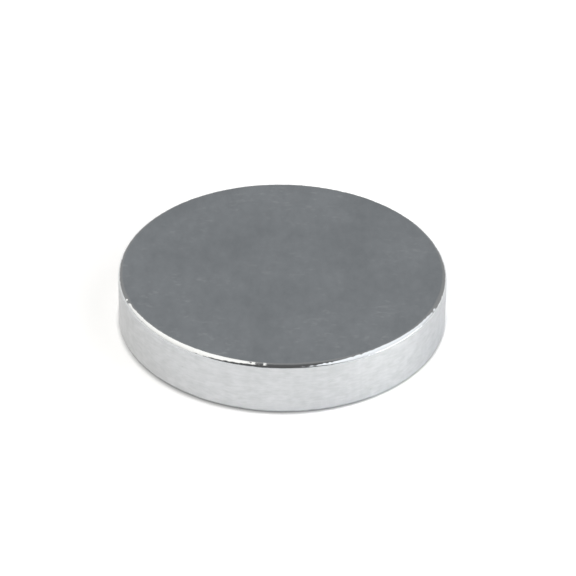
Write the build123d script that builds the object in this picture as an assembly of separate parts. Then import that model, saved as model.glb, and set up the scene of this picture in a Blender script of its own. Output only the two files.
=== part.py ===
from build123d import *

import os

# Disc magnet: a sintered disc, ground on both flat faces, tumbled until its rims are round, and plated.
# It is one solid piece. Millimetres, +Z up. The origin is the centre of the lower flat face, and +Z is
# the disc's own axis, along which it is magnetised.

# Driving dimensions
DISC_DIAMETER = 20.0  # across the round side wall
DISC_THICKNESS = 3.5  # from flat face to flat face
RIM_RADIUS = 0.3  # rounding that tumbling leaves where each flat face meets the side wall


def magnet_disc():
    """The whole magnet: a solid disc standing on its lower face, with both rims rounded alike."""
    disc = Cylinder(
        DISC_DIAMETER / 2,
        DISC_THICKNESS,
        align=(Align.CENTER, Align.CENTER, Align.MIN),
    )
    rims = disc.edges().filter_by(GeomType.CIRCLE)
    return fillet(rims, RIM_RADIUS)


os.makedirs("parts", exist_ok=True)
export_step(magnet_disc(), "parts/magnet_disc.step")
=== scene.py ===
# %% [markdown]
# # A disc magnet in nickel plate
#
# A disc magnet is a pressed and sintered disc, ground flat on both faces, tumbled in a drum of
# stones until its rims are round, and then plated with nickel. It is one plain piece, so nearly
# everything that the eye reads comes from three things: how round the rim is, how fine the marks
# in the plating are, and what the metal mirrors. This lesson makes those three in that order.
#
# It could be made from a cylinder with a Bevel modifier. A surface worked out with numpy was
# chosen instead, because the rim of a tumbled disc is not quite even, and a formula can let its
# roundness and its small dings vary while the disc keeps its exact size.

# %% Load the frame
import math

import bpy
import numpy as np
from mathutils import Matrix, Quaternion, Vector


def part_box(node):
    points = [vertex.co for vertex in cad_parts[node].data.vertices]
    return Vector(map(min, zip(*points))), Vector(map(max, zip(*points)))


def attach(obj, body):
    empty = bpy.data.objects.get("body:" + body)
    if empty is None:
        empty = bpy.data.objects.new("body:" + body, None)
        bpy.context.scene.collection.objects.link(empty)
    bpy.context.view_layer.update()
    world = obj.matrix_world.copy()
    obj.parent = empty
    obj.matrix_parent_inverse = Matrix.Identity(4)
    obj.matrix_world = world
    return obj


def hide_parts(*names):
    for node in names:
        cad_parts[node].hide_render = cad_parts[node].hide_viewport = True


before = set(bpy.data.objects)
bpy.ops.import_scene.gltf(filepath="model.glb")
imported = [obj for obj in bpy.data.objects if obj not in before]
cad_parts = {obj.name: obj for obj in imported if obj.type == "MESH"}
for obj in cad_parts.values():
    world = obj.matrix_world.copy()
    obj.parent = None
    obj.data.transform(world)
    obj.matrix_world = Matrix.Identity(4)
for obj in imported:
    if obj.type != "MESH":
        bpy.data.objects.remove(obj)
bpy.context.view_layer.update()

MM = 0.001  # every length in Blender is in metres
MICRON = 1e-6
NODE = "magnet_disc"

low, high = (np.array(corner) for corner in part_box(NODE))
DISC_RADIUS = (high[0] - low[0]) / 2
THICKNESS = high[2] - low[2]
print(f"disc: {2 * DISC_RADIUS / MM:.2f} mm across and {THICKNESS / MM:.2f} mm thick")

# %% [markdown]
# ## The camera
#
# The disc is seen from a little over a third of the way up, through a long lens a good way off.
# That keeps the near and far rims almost the same size, as in a catalogue picture of a small
# part. The camera is a touch out of level, as a camera on a small tripod usually is. A look-at
# constraint would aim it too, but then the slight roll would need an empty of its own, so the
# turn is worked out here as a quaternion.

# %% Camera
ELEVATION = math.radians(34.62)
CAMERA_DISTANCE = 20 * DISC_RADIUS
CAMERA_ROLL = math.radians(0.875)
SENSOR_WIDTH_MM = 36.0
LENS_MM = 203.4
AIM = Vector((0.345 * MM, 0, 2.21 * MM))  # the point in the middle of the frame

camera = bpy.data.objects.new("camera", bpy.data.cameras.new("camera"))
bpy.context.scene.collection.objects.link(camera)
camera.data.sensor_width = SENSOR_WIDTH_MM
camera.data.lens = LENS_MM
camera.data.clip_start = CAMERA_DISTANCE / 10
camera.location = CAMERA_DISTANCE * Vector((0, -math.cos(ELEVATION), math.sin(ELEVATION)))
camera.rotation_mode = "QUATERNION"
aimed = (AIM - camera.location).to_track_quat("-Z", "Y")
camera.rotation_quaternion = aimed @ Quaternion((0, 0, 1), CAMERA_ROLL)
bpy.context.scene.camera = camera
print(f"camera: {camera.location.length / MM:.0f} mm from the disc's centre")

# %% [markdown]
# ## The outline of the disc
#
# Cut the disc through its axis, and its edge is a flat face, a quarter circle, a straight wall,
# another quarter circle and the other face. The list of rows below walks along that outline
# from the centre of the lower face to the centre of the upper one. Each row is four shares, so
# that the same rows serve every place round the disc, however large its rim's radius is there.
#
# The rows stand close together on the quarter circles, where the surface turns and where light
# draws its bright and dark lines, and far apart on the flats.

# %% Rows along the outline
FACE_GAPS = (1, 0.7, 0.4, 0.2, 0.1, 0.05, 0.02, 0.008, 0.003)  # shares of the way to the centre
RIM_ROWS = 13
WALL_ROWS = 5


def outline_rows():
    """The rows of the outline, from the lower face's centre to the upper face's centre.

    A row's distance from the axis is (R - r) * flat + r * out, and its height is
    T * up + r * lift, where R is the disc's radius, T its thickness and r the rim's radius.
    turn is the angle of the surface there: -90 degrees on the lower face, 0 on the wall and
    90 on the upper face. The upper half mirrors the lower one.
    """
    face = 1 - np.array(FACE_GAPS)
    angle = np.linspace(-np.pi / 2, 0, RIM_ROWS)
    wall = np.linspace(0, 1, WALL_ROWS + 1, endpoint=False)[1:]
    none, one = np.zeros_like(face), np.ones_like(face)
    flat = np.concatenate([face, np.ones(RIM_ROWS), np.ones(WALL_ROWS)])
    out = np.concatenate([none, np.cos(angle), np.ones(WALL_ROWS)])
    up = np.concatenate([none, np.zeros(RIM_ROWS), wall])
    lift = np.concatenate([none, 1 + np.sin(angle), 1 - 2 * wall])
    turn = np.concatenate([-one * np.pi / 2, angle, np.zeros(WALL_ROWS)])
    mirrored = slice(len(face) + RIM_ROWS - 1, None, -1)
    return {
        "flat": np.append(flat, flat[mirrored]),
        "out": np.append(out, out[mirrored]),
        "up": np.append(up, 1 - up[mirrored]),
        "lift": np.append(lift, -lift[mirrored]),
        "turn": np.append(turn, -turn[mirrored]),
    }


rows = outline_rows()
print(f"outline: {len(rows['turn'])} rows")

# %% [markdown]
# ## What tumbling leaves
#
# In the drum the discs roll over each other and over the stones. The rims wear round, but not
# to exactly the same radius everywhere, and each hard knock leaves a ding a tenth of a
# millimetre or so across. These are real dents in the mesh and not only bump, because they
# nibble at the bright line that the rim draws.
#
# Waves that fit a whole number of times round the disc close up without a seam, so every slow
# unevenness here is a sum of such waves with fixed random phases.

# %% Slow unevenness round the disc
AROUND = 1920  # points round the disc, about 33 microns apart at the wall
RIM_RADIUS = 0.3 * MM
RIM_UNEVENNESS = 0.08  # share of the rim's radius
RIM_WAVES = (2, 160)  # the fewest and the most waves round the disc
around = np.linspace(0, 2 * np.pi, AROUND, endpoint=False)


def waves(seed, fewest, most):
    """One value for each place round the disc, from about -1 to 1: a sum of cosines with a
    whole number of waves round the disc and random phases, each as high as 1 over the square
    root of its number."""
    random = np.random.default_rng(seed)
    counts = np.arange(fewest, most + 1)
    phases = random.uniform(0, 2 * np.pi, len(counts))
    heights = counts**-0.5
    total = np.cos(np.outer(around, counts) + phases) @ heights
    return total / np.abs(total).max()


rim_radius = {
    "lower": RIM_RADIUS * (1 + RIM_UNEVENNESS * waves(3, *RIM_WAVES)),
    "upper": RIM_RADIUS * (1 + RIM_UNEVENNESS * waves(8, *RIM_WAVES)),
}
for rim, radii in rim_radius.items():
    print(f"{rim} rim: radius {radii.min() / MM:.3f} to {radii.max() / MM:.3f} mm")

# %% [markdown]
# ## From rows to a surface
#
# The surface is one array of points, a row of the outline by a place round the disc. Dings are
# pushed in along the surface's own direction. One ding is a small bell-shaped hollow, high where
# it is near in both directions, so all of them together are a product of two tables: how near
# each place round the disc is to each ding, and how near each row is.

# %% The surface
DINGS_PER_RIM = 220
DING_WIDTH = (0.04 * MM, 0.13 * MM)
DING_DEPTH = (1.5 * MICRON, 11 * MICRON)
DEEP_DINGS = 3  # the higher this power, the fewer dings are deep
DING_TURN = (-0.6, 0.4)  # how far a ding lies from the rim's middle, to the wall and to the face
FACE_TURN = 1.5  # rows that turn further than this are on a flat face, which gets no dings
WALL_WAVE = 1.5 * MICRON  # how far the wall is from truly round
WALL_WAVES = (6, 90)


def ding_depth(seed, row_turn, centre_turn):
    """How deep each point of the surface is pushed in by one rim's dings, as rows by places.

    A ding's depth falls off as exp(-d * d / 2) in each direction, where d is the distance from
    its middle in ding widths. Round the disc the distance is along the wall, and up and down it
    is along the rim's arc. turn and the ding's own turn are angles on that arc.
    """
    random = np.random.default_rng(seed)
    place = random.uniform(0, 2 * np.pi, DINGS_PER_RIM)
    turn = centre_turn + random.uniform(*DING_TURN, DINGS_PER_RIM) * np.sign(centre_turn)
    width = random.uniform(*DING_WIDTH, DINGS_PER_RIM)
    shallowest, deepest = DING_DEPTH
    share = random.random(DINGS_PER_RIM) ** DEEP_DINGS
    depth = shallowest + (deepest - shallowest) * share
    gap = np.angle(np.exp(1j * (around[:, None] - place)))
    near_place = np.exp(-0.5 * (gap * DISC_RADIUS / width) ** 2)
    near_row = np.exp(-0.5 * ((row_turn[:, None] - turn) * RIM_RADIUS / width) ** 2)
    near_row[np.abs(row_turn) > FACE_TURN] = 0
    return (near_row * depth) @ near_place.T


def disc_surface():
    """The disc's points as rows by places by XYZ, and each row's turn.

    The outline's formula gives each point, with the lower rim's radius in the lower half and
    the upper rim's in the upper half. Then each point moves inwards, against the surface's
    direction (cos turn, sin turn), by the depth of the dings and of the wall's slow waves.
    """
    half = len(rows["turn"]) // 2
    radius = np.concatenate([
        np.tile(rim_radius["lower"], (half, 1)),
        np.tile(rim_radius["upper"], (len(rows["turn"]) - half, 1)),
    ])
    flat, out, up, lift, turn = (shares[:, None] for shares in rows.values())
    reach = (DISC_RADIUS - radius) * flat + radius * out
    height = THICKNESS * up + radius * lift
    pushed = ding_depth(21, rows["turn"], -np.pi / 4) + ding_depth(22, rows["turn"], np.pi / 4)
    pushed = pushed + WALL_WAVE * (1 + waves(5, *WALL_WAVES)) * np.cos(turn) ** 4
    on_axis = flat == 0
    reach = np.where(on_axis, 0, reach - pushed * np.cos(turn))
    height = np.where(on_axis, height, height - pushed * np.sin(turn))
    x, y = reach * np.cos(around), reach * np.sin(around)
    return np.stack([x, y, low[2] + height], axis=-1)


surface = disc_surface()
print(f"surface: {surface.shape[0]} rows by {surface.shape[1]} places")

# %% [markdown]
# ## From a surface to a mesh
#
# A face joins two places on one row to the same two places on the next row, and the last place
# round joins the first again, so there is no seam. The first and last rows are single points at
# the middle of each flat face, and triangles close the surface there.

# %% The mesh


def closed_mesh(name, points):
    """A mesh from rows by places by XYZ, closed round and with its first and last rows as poles.

    The corners of face (i, j) are the points (i, j), (i, j + 1), (i + 1, j + 1) and (i + 1, j),
    with j + 1 taken round. Rows that run upwards outside and places that run anticlockwise
    make every face point outwards.
    """
    row_count, place_count = points.shape[:2]
    rings = points[1:-1].reshape(-1, 3)
    poles = np.array([points[0, 0], points[-1, 0]])
    index = np.arange(len(rings)).reshape(row_count - 2, place_count)
    beside = np.roll(index, -1, axis=1)
    quads = np.stack([index[:-1], beside[:-1], beside[1:], index[1:]], axis=-1).reshape(-1, 4)
    lower_pole = np.full(place_count, len(rings))
    upper_pole = lower_pole + 1
    caps = np.concatenate([
        np.stack([lower_pole, beside[0], index[0]], axis=-1),
        np.stack([upper_pole, index[-1], beside[-1]], axis=-1),
    ])
    mesh = bpy.data.meshes.new(name)
    mesh.from_pydata(np.concatenate([rings, poles]).tolist(), [], quads.tolist() + caps.tolist())
    mesh.polygons.foreach_set("use_smooth", np.ones(len(mesh.polygons), bool))
    mesh.update()
    return mesh


def enclosed_volume(mesh):
    """The volume inside a closed mesh: a sixth of the sum, over its triangles, of the product of
    each first corner with the cross product of the other two. It is positive if faces point out."""
    places = np.zeros(3 * len(mesh.vertices))
    mesh.vertices.foreach_get("co", places)
    mesh.calc_loop_triangles()
    corners = np.zeros(3 * len(mesh.loop_triangles), int)
    mesh.loop_triangles.foreach_get("vertices", corners)
    a, b, c = places.reshape(-1, 3)[corners].reshape(-1, 3, 3).transpose(1, 0, 2)
    return (a * np.cross(b, c)).sum() / 6


disc = bpy.data.objects.new("nickel_disc", closed_mesh("nickel_disc", surface))
bpy.context.scene.collection.objects.link(disc)
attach(disc, "root")
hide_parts(NODE)
volume = enclosed_volume(disc.data) / MM**3
print(f"mesh: {len(disc.data.loop_triangles)} triangles, {volume:.0f} mm3")

# %% [markdown]
# ## Where the finish changes
#
# The plating is the same all over, but what lies under it is not: the flats are ground, the
# rims are burnished by knocks, and the wall is pressed and tumbled. Each point gets two shares,
# how much of it is rim and how much is wall, and what is left is flat face. The material
# blends its three finishes by these shares. Their greys differ partly as these finishes do and
# partly by painted light: painted shade darkens the flats and a painted highlight brightens the
# rims.

# %% Shares of rim and wall
WALL_EDGE = 0.35  # the steepness, on the rim, where the wall's finish has faded out
RIM_FULLNESS = 0.5  # the lower this power, the more of the rim is wholly rim


def add_share(mesh, name, values):
    """Writes one number from 0 to 1 for each point, so that a material can read it by name."""
    mesh.attributes.new(name, "FLOAT", "POINT").data.foreach_set("value", values.astype(np.float32))


def point_values(row_values):
    """One value for each point of closed_mesh, from one value for each row of the outline."""
    rings = np.repeat(row_values[1:-1], AROUND)
    return np.append(rings, [row_values[0], row_values[-1]])


steepness = np.abs(np.sin(rows["turn"]))  # 1 on a flat face, 0 on the wall
add_share(disc.data, "wall_share", point_values(np.clip(1 - steepness / WALL_EDGE, 0, 1)))
on_rim = np.sin(2 * np.abs(rows["turn"]))  # 1 in the middle of a rim, 0 on a flat face and the wall
add_share(disc.data, "rim_share", point_values(on_rim**RIM_FULLNESS))
print("shares: wall_share and rim_share")

# %% [markdown]
# ## Helpers for materials
#
# Colours are written as the hex values that a colour picker shows. Blender's sockets want linear
# light, so one function turns them. Another adds any node, with its settings and its links. Given
# a node where a value could stand, it links that node's first output in use, so that a chain of
# nodes reads like a chain of sums.

# %% Colours and nodes


def linear(hex_colour):
    """A hex colour such as "#c8ccd0" in linear light: each channel over 255, then the sRGB
    curve undone."""
    shown = np.array([int(hex_colour[i : i + 2], 16) for i in (1, 3, 5)]) / 255
    light = np.where(shown <= 0.04045, shown / 12.92, ((shown + 0.055) / 1.055) ** 2.4)
    return (*light, 1.0)


def add(tree, kind, inputs=None, **settings):
    """Adds a node. settings are its own properties. inputs are its sockets by name or number: a
    node or one of its outputs is linked, and anything else is the socket's value.

    Some nodes have sockets that share a name, so they go by number. A Mix has its factor at 0,
    its two numbers at 2 and 3, and its two colours at 6 and 7. A Map Range has its value at 0,
    the limits it comes from at 1 and 2, and those it goes to at 3 and 4.
    """
    node = tree.nodes.new(kind)
    for name, value in settings.items():
        setattr(node, name, value)
    for name, value in (inputs or {}).items():
        if isinstance(value, bpy.types.Node):
            value = next(output for output in value.outputs if output.enabled)
        if isinstance(value, bpy.types.NodeSocket):
            tree.links.new(value, node.inputs[name])
        else:
            node.inputs[name].default_value = value
    return node


def empty_tree(owner):
    """The owner's node tree, emptied."""
    owner.use_nodes = True
    owner.node_tree.nodes.clear()
    return owner.node_tree


# %% [markdown]
# ## The marks in the plating
#
# Nickel is a neutral grey metal that mirrors about three fifths of the light. On a magnet it is
# barrel-plated over a tumbled surface, so it is bright but not a perfect mirror.
# - The flats keep the fine grain of grinding, about a tenth of a millimetre. Handling leaves
#   clouds a few millimetres wide, smudges of half a millimetre and a few short wipe marks.
# - The wall is lumpy at about half a millimetre, scuffed in short strokes round the disc, and
#   faintly streaked straight up.
# - The rims are burnished smoother than either, and their paler grey is partly burnish and
#   partly painted highlight.
#
# Pictures of scratches could be wrapped round the disc, but they need an unwrapping and they
# repeat. Noise in the disc's own space has no seam, and its scale is simply one over the real
# size of its marks. Each finish is a short function, and one material joins them.

# %% Marks
CLOUD = 3.5 * MM
SMUDGE = 0.6 * MM
WIPE = 0.3 * MM
GRAIN = 0.13 * MM
LUMP = 0.42 * MM
STROKE = 0.5 * MM


def marks(tree, place, size, detail=2.0, roughness=0.5, stretch=(1, 1, 1)):
    """A pattern from 0 to 1 with marks of that size in metres, stretched by shares along X, Y and
    Z: smooth noise, one mark to a unit, on coordinates divided by the size and the stretch."""
    unit = add(tree, "ShaderNodeMapping", {0: place, "Scale": [1 / (size * s) for s in stretch]})
    inputs = {"Vector": unit, "Scale": 1.0, "Detail": detail, "Roughness": roughness}
    return add(tree, "ShaderNodeTexNoise", inputs)


print(f"marks: from {GRAIN / MM:.2f} mm of grain to clouds of {CLOUD / MM:.1f} mm")

# %% Ground flats
# painted shade: the flats' greys are partly their own tone and partly darkened below the wall's
FLAT_GREYS_WITH_PAINTED_SHADE = ("#bcc2c7", "#ccd2d7")
WIPED_GREY = "#e2e7ea"
FLAT_ROUGHNESS = (0.12, 0.20)
SMUDGE_SHARE = 0.45  # of the mottling, with clouds as the rest
MOTTLE_FROM, MOTTLE_TO = 0.36, 0.64  # where the mottling is all the first grey, or all the second
WIPES_FROM, WIPES_TO = 0.58, 0.74  # how high wipe marks start to show, and show in full
CLOUDS_FROM, CLOUDS_TO = 0.45, 0.61  # and how high the clouds must be for that
WIPE_STRENGTH = 0.55


def ground_flat(tree, place, grain):
    """Colour and roughness of a ground face. Clouds and smudges move it between two close greys,
    and it is paler on the few wipe marks, which lie where both the marks and the clouds are high.
    Its roughness follows the grain."""
    clouds = marks(tree, place, CLOUD, detail=3.0, stretch=(1, 1.5, 1))
    smudges = marks(tree, place, SMUDGE, detail=4.0, roughness=0.6, stretch=(1, 1.9, 1))
    wipes = marks(tree, place, WIPE, detail=2.0, stretch=(2.0, 1.2, 1))
    mottle = add(tree, "ShaderNodeMix", {0: SMUDGE_SHARE, 2: clouds, 3: smudges})
    mottled = add(tree, "ShaderNodeMapRange", {0: mottle, 1: MOTTLE_FROM, 2: MOTTLE_TO})
    darker, paler = (linear(grey) for grey in FLAT_GREYS_WITH_PAINTED_SHADE)
    plain = add(tree, "ShaderNodeMix", {0: mottled, 6: darker, 7: paler}, data_type="RGBA")
    high_marks = add(tree, "ShaderNodeMapRange", {0: wipes, 1: WIPES_FROM, 2: WIPES_TO})
    limits = {0: clouds, 1: CLOUDS_FROM, 2: CLOUDS_TO, 4: WIPE_STRENGTH}
    high_clouds = add(tree, "ShaderNodeMapRange", limits)
    wiped = add(tree, "ShaderNodeMath", {0: high_marks, 1: high_clouds}, operation="MULTIPLY")
    greys = {0: wiped, 6: plain, 7: linear(WIPED_GREY)}
    colour = add(tree, "ShaderNodeMix", greys, data_type="RGBA")
    least, most = FLAT_ROUGHNESS
    return colour, add(tree, "ShaderNodeMapRange", {0: grain, 3: least, 4: most})


# %% Tumbled wall
WALL_GREYS = ("#cdcfd0", "#dcdddf")
WALL_ROUGHNESS = (0.22, 0.44)
SCUFF_SHARE = 0.45  # of the marks, with lumps as the rest
STROKE_SHARE = 0.15  # of the height, with the marks as the rest
WORN_FROM, WORN_TO = 0.38, 0.62  # the heights that are all the first grey, or all the second


def tumbled_wall(tree, place):
    """Colour, roughness and height of the wall. Its height is nearly half lumps and over a third
    scuffs, which are short strokes round the disc. The rest is long strokes straight up the
    wall, which are noise far longer along Z than along X and Y. High places are paler, and the
    wall is duller where the scuffs are high."""
    lumps = marks(tree, place, LUMP, detail=3.0, stretch=(1.8, 1.8, 1))
    scuffs = marks(tree, place, GRAIN, detail=2.0, stretch=(4, 4, 1))
    strokes = marks(tree, place, STROKE, detail=1.0, stretch=(1, 1, 12))
    marked = add(tree, "ShaderNodeMix", {0: SCUFF_SHARE, 2: lumps, 3: scuffs})
    height = add(tree, "ShaderNodeMix", {0: STROKE_SHARE, 2: marked, 3: strokes})
    worn = add(tree, "ShaderNodeMapRange", {0: height, 1: WORN_FROM, 2: WORN_TO})
    darker, paler = (linear(grey) for grey in WALL_GREYS)
    colour = add(tree, "ShaderNodeMix", {0: worn, 6: darker, 7: paler}, data_type="RGBA")
    least, most = WALL_ROUGHNESS
    return colour, add(tree, "ShaderNodeMapRange", {0: scuffs, 3: least, 4: most}), height


# %% [markdown]
# ## One material from three finishes
#
# The two shares blend the finishes, wall over flat and then rim over both. Base Color of a metal
# is how much it mirrors head on, and Roughness is how blurred the mirror is. The bump heights
# are real ones, a quarter of a micron of grain and a few microns of lumps, because that is all
# that such marks are deep.

# %% Nickel plate
# painted highlight: the rim's grey is partly burnish and partly raised so its bright line clips
# white
RIM_GREY_AND_PAINTED_HIGHLIGHT = "#dcdedf"
RIM_ROUGHNESS = 0.1
GRAIN_HEIGHT = 0.25 * MICRON
LUMP_HEIGHT = 5 * MICRON


def nickel_plate():
    """Bright nickel plate: to the eye a soft mirror on the flats, a pale satin on the wall and a
    sharp bright line on the rims."""
    material = bpy.data.materials.new("bright_nickel_plate")
    tree = empty_tree(material)
    place = add(tree, "ShaderNodeTexCoord").outputs["Object"]
    wall = add(tree, "ShaderNodeAttribute", attribute_name="wall_share").outputs["Fac"]
    rim = add(tree, "ShaderNodeAttribute", attribute_name="rim_share").outputs["Fac"]
    grain = marks(tree, place, GRAIN, detail=3.0)
    flat_colour, flat_roughness = ground_flat(tree, place, grain)
    wall_colour, wall_roughness, wall_height = tumbled_wall(tree, place)

    sides = add(tree, "ShaderNodeMix", {0: wall, 6: flat_colour, 7: wall_colour}, data_type="RGBA")
    colour = add(tree, "ShaderNodeMix", {0: rim, 6: sides, 7: linear(RIM_GREY_AND_PAINTED_HIGHLIGHT)}, data_type="RGBA")
    side_roughness = add(tree, "ShaderNodeMix", {0: wall, 2: flat_roughness, 3: wall_roughness})
    roughness = add(tree, "ShaderNodeMix", {0: rim, 2: side_roughness, 3: RIM_ROUGHNESS})

    fine = add(tree, "ShaderNodeBump", {"Height": grain, "Distance": GRAIN_HEIGHT})
    on_wall = add(tree, "ShaderNodeMath", {0: wall_height, 1: wall}, operation="MULTIPLY")
    bumps = {"Height": on_wall, "Distance": LUMP_HEIGHT, "Normal": fine}
    normal = add(tree, "ShaderNodeBump", bumps)

    finish = {"Base Color": colour, "Metallic": 1.0, "Roughness": roughness, "Normal": normal}
    shader = add(tree, "ShaderNodeBsdfPrincipled", finish)
    add(tree, "ShaderNodeOutputMaterial", {"Surface": shader})
    return material


disc.data.materials.append(nickel_plate())
print("material:", disc.data.materials[0].name)

# %% [markdown]
# ## The table
#
# The disc lies on a table painted matt white. Light falls off in the crevice under the lower rim,
# and that dark hairline is what makes the disc sit on the table and not float. An Ambient
# Occlusion node measures how open each place is, and darkens the paint there with painted shade,
# to deepen that hairline beyond what the lamps give.
#
# A white page behind a small part is whiter than lit paint. More light would do that, but it
# would bleach the metal too. So the paint gets a little light of its own instead: some for the
# camera, and less for the metal that mirrors the table.

# %% Table
TABLE_HALF_WIDTH = 1.2
TABLE_WHITE = "#f4f4f4"
SEEN_GLOW = 0.34
MIRRORED_GLOW = 0.12
# painted shade: how far the paint and the metal's glow are darkened under the rim
CREVICE = 0.3 * MM  # how far the crevice reaches


def white_table():
    """Matt white paint with painted shade in crevices, plus its own light. That light is the seen
    glow for rays from the camera or through glass, and the mirrored glow times openness, which
    paints the same shade into it, for rays from metal."""
    material = bpy.data.materials.new("matt_white_table_paint")
    tree = empty_tree(material)
    path = add(tree, "ShaderNodeLightPath").outputs
    near = add(tree, "ShaderNodeAmbientOcclusion", {"Distance": CREVICE}, samples=8)
    openness = near.outputs["AO"]
    # painted shade: openness takes the paint's colour towards black in the crevice
    colours = {0: openness, 6: linear("#000000"), 7: linear(TABLE_WHITE)}
    colour = add(tree, "ShaderNodeMix", colours, data_type="RGBA")
    paint = add(tree, "ShaderNodeBsdfDiffuse", {"Color": colour})
    either = {0: path["Is Camera Ray"], 1: path["Is Transmission Ray"]}
    seen = add(tree, "ShaderNodeMath", either, operation="MAXIMUM")
    # painted shade in the glow that the metal mirrors, as well
    open_glow = add(tree, "ShaderNodeMath", {0: openness, 1: MIRRORED_GLOW}, operation="MULTIPLY")
    open_metal = {0: path["Is Glossy Ray"], 1: open_glow}
    mirrored = add(tree, "ShaderNodeMath", open_metal, operation="MULTIPLY")
    terms = {0: seen, 1: SEEN_GLOW, 2: mirrored}
    glow = add(tree, "ShaderNodeMath", terms, operation="MULTIPLY_ADD")
    light = add(tree, "ShaderNodeEmission", {"Strength": glow})
    both = add(tree, "ShaderNodeAddShader", {0: paint, 1: light})
    add(tree, "ShaderNodeOutputMaterial", {"Surface": both})
    return material


def one_face(name, corners, material):
    """A stage object of one four-cornered face, from its corners in metres."""
    mesh = bpy.data.meshes.new(name)
    mesh.from_pydata(np.array(corners).tolist(), [], [(0, 1, 2, 3)])
    mesh.materials.append(material)
    sheet = bpy.data.objects.new(name, mesh)
    bpy.context.scene.collection.objects.link(sheet)
    return sheet


square = np.array([[-1, -1], [1, -1], [1, 1], [-1, 1]]) * TABLE_HALF_WIDTH
one_face("table", np.column_stack([square, np.full(4, low[2])]), white_table())
print(f"table: {2 * TABLE_HALF_WIDTH:.1f} m square at height {low[2] / MM:.2f} mm")

# %% [markdown]
# ## What the metal mirrors
#
# A mirror shows only its surroundings, so lighting metal is building those surroundings. Two
# large softboxes lean in over the table from the left and the right, with a gap between them
# overhead. They draw the two long highlights on the front rim, and a low card on the right
# carries its highlight down to the wall. The dim room that shows between and behind them gives
# the flat face its grey and the middle of the rim its dark line.
#
# Area lamps could stand for the softboxes, but a lamp is always a rectangle or a disc of even
# light. A glowing face can have any four corners, and can fall off towards its outer edge as
# cloth lit from inside does. The camera doesn't see these faces, and the metal does.

# %% Panels
PANELS = {  # radiance, colour and corners in mm, the softboxes' two inner corners first
    "softbox_left": (
        1.42, "#fffdf9", [(-25, 140, 330), (-75, -215, 291), (-450, -330, 30), (-450, 260, 30)],
    ),
    "softbox_right": (
        1.42, "#fafcff", [(140, 140, 330), (124, -430, 205), (450, -420, 30), (450, 220, 30)],
    ),
    "low_card": (
        1.9, "#fcfdff", [(90, -60, 0), (90, 12, 0), (90, 12, 20), (90, -60, 20)],
    ),
}
OUTER_RADIANCE = 1.0
FALL_OFF = (0.15, 0.45)  # metres from the middle of the room, where the fall starts and ends


def panel_glow(name, radiance, colour):
    """An even colour whose radiance falls in a straight line from its full value to the outer
    one, with the distance from the middle of the room along X."""
    material = bpy.data.materials.new(name)
    tree = empty_tree(material)
    place = add(tree, "ShaderNodeTexCoord").outputs["Object"]
    across = add(tree, "ShaderNodeSeparateXYZ", {0: place}).outputs["X"]
    distance = add(tree, "ShaderNodeMath", {0: across}, operation="ABSOLUTE")
    start, end = FALL_OFF
    fall = {0: distance, 1: start, 2: end, 3: radiance, 4: OUTER_RADIANCE}
    strength = add(tree, "ShaderNodeMapRange", fall)
    glow = add(tree, "ShaderNodeEmission", {"Color": linear(colour), "Strength": strength})
    add(tree, "ShaderNodeOutputMaterial", {"Surface": glow})
    return material


for name, (radiance, colour, corners) in PANELS.items():
    panel = one_face(name, np.array(corners) * MM, panel_glow(name, radiance, colour))
    panel.visible_camera = False
print("panels:", ", ".join(PANELS))

# %% [markdown]
# ## Light for the table
#
# The wall of a disc that lies on a table mirrors the table right beside it, so the wall's tone is
# the tone of that table. Two small lamps light it, more from the right than from the left. A
# narrow spot then brightens the patch beside the front right of the wall, where the wall is
# palest. All three are hidden from the metal, because a lamp mirrored in the rim would add a
# highlight that no softbox makes.

# %% Lamps
LAMPS = {  # watts, colour, place and aim in mm, width in mm, and spread
    "lamp_right": (0.0135, "#f4f8fc", (52, -30, 34), (0, 0, 0), 35, 180),
    "lamp_left": (0.0045, "#fffdf8", (-52, -30, 34), (0, 0, 0), 35, 180),
    "spot_right": (0.00043, "#fdfffb", (50, -20, 40), (9.8, -8.2, 0), 6, 15),
}


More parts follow.
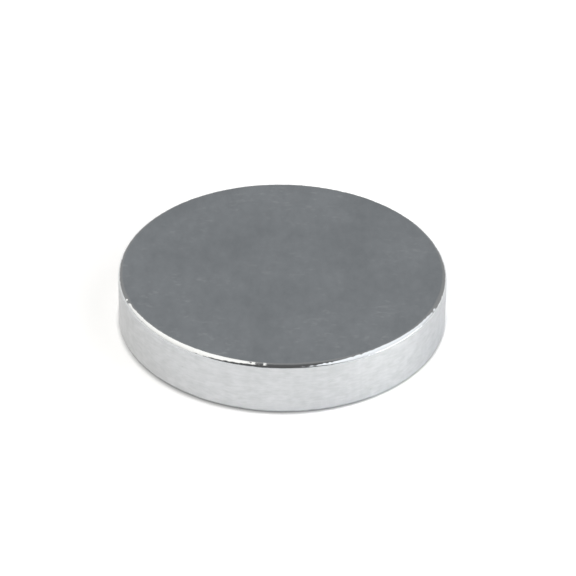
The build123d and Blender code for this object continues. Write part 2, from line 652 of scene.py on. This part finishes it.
def table_lamp(name, watts, colour, place, aim, width, spread):
    """A round lamp that isn't mirrored. Its spread is the full angle of its cone in degrees."""
    light = bpy.data.lights.new(name, "AREA")
    light.shape = "DISK"
    light.size = width * MM
    light.spread = math.radians(spread)
    light.energy = watts
    light.color = linear(colour)[:3]
    lamp = bpy.data.objects.new(name, light)
    bpy.context.scene.collection.objects.link(lamp)
    lamp.location = Vector(place) * MM
    lamp.rotation_mode = "QUATERNION"
    beam = Vector(aim) - Vector(place)
    lamp.rotation_quaternion = beam.to_track_quat("-Z", "Y")
    lamp.visible_glossy = False


for name, settings in LAMPS.items():
    table_lamp(name, *settings)
print("lamps:", ", ".join(LAMPS))

# %% [markdown]
# ## The room
#
# The world is everything beyond the table. It is grey behind the disc, dark before it where the
# camera stands, and pale along the horizon, where the room goes on as white as the table. The
# camera itself sees plain white there, so that no view shows an edge to the table.

# %% Room
ROOM_BEHIND = 0.33
ROOM_BEFORE = 0.125
ROOM_HORIZON = 0.6
BEFORE_FROM, BEFORE_TO = 0.30, -0.45  # the direction's Y between which the room darkens
HORIZON_FROM, HORIZON_TO = 0.12, 0.04  # the direction's Z between which the horizon pales


def room():
    """A world whose level comes from the direction of the ray, with smooth steps between the
    room behind, the room before and the horizon."""
    world = bpy.data.worlds.new("studio_room")
    tree = empty_tree(world)
    way = add(tree, "ShaderNodeTexCoord").outputs["Generated"]
    along = add(tree, "ShaderNodeSeparateXYZ", {0: way}).outputs
    forward = {0: along["Y"], 1: BEFORE_FROM, 2: BEFORE_TO}
    before = add(tree, "ShaderNodeMapRange", forward, interpolation_type="SMOOTHSTEP")
    downward = {0: along["Z"], 1: HORIZON_FROM, 2: HORIZON_TO}
    horizon = add(tree, "ShaderNodeMapRange", downward, interpolation_type="SMOOTHSTEP")
    grey = add(tree, "ShaderNodeMix", {0: before, 2: ROOM_BEHIND, 3: ROOM_BEFORE})
    level = add(tree, "ShaderNodeMix", {0: horizon, 2: grey, 3: ROOM_HORIZON})
    seen = add(tree, "ShaderNodeLightPath").outputs["Is Camera Ray"]
    strength = add(tree, "ShaderNodeMix", {0: seen, 2: level, 3: 1.0})
    white = {"Color": linear("#ffffff"), "Strength": strength}
    background = add(tree, "ShaderNodeBackground", white)
    add(tree, "ShaderNodeOutputWorld", {"Surface": background})
    return world


bpy.context.scene.world = room()
bpy.context.scene.view_settings.view_transform = "Standard"
print("room:", bpy.context.scene.world.name)
